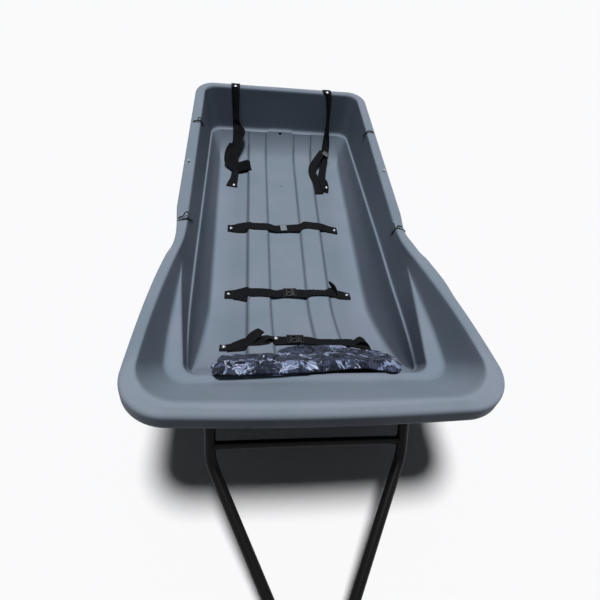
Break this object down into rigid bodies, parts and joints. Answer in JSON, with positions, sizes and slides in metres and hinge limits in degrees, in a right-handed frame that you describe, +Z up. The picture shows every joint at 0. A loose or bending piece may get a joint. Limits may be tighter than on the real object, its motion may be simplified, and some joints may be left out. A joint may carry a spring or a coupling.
{
  "type": "snowmobile tow sled",
  "caption": "Open plastic tub sled with a raised bow, load straps, a bow pad and a hinged A-shaped drawbar, towed over snow.",
  "frame": {"origin": "centre of the part's outline on the ground, under hull and lowered drawbar together", "axes": "+Z up, -Y towards the bow and the tow eye, +X to the right seen from the bow"},
  "size_m": [0.985, 2.615, 0.55],
  "materials": {
    "hull_plastic": "grey polyethylene sheet, formed, faint satin sheen",
    "webbing": "black woven polypropylene webbing",
    "buckle_plastic": "black moulded plastic",
    "rivet_aluminium": "bright rivet heads",
    "loop_cord": "thin black braided cord",
    "pad_fabric": null,
    "drawbar_paint": "black powder coat",
    "zinc_steel": "zinc plated"
  },
  "bodies": {
    "sled": {"hull": "hull_plastic", "cross_strap_tail": "webbing", "cross_strap_middle": "webbing", "cross_strap_bow": "webbing", "tail_strap_left": "webbing", "tail_strap_right": "webbing", "buckle_tail": "buckle_plastic", "buckle_middle": "buckle_plastic", "buckle_bow": "buckle_plastic", "strap_rivets": "rivet_aluminium", "rim_studs": "rivet_aluminium", "rim_cord_loops": "loop_cord", "bow_pad": "pad_fabric", "hinge_bracket_left": "drawbar_paint", "hinge_bracket_right": "drawbar_paint", "hinge_pins": "zinc_steel", "bracket_bolts": "zinc_steel"},
    "drawbar": {"drawbar_tube_left": "drawbar_paint", "drawbar_tube_right": "drawbar_paint", "drawbar_cross_tube": "drawbar_paint", "drawbar_bushes": "drawbar_paint", "tow_plate": "drawbar_paint"}
  },
  "joints": [
    {"name": "drawbar_hinge", "type": "hinge", "parent": "sled", "child": "drawbar", "pos_m": [0, -0.5545, 0.355], "axis": [-1, 0, 0], "range_deg": [-35, 80]}
  ]
}
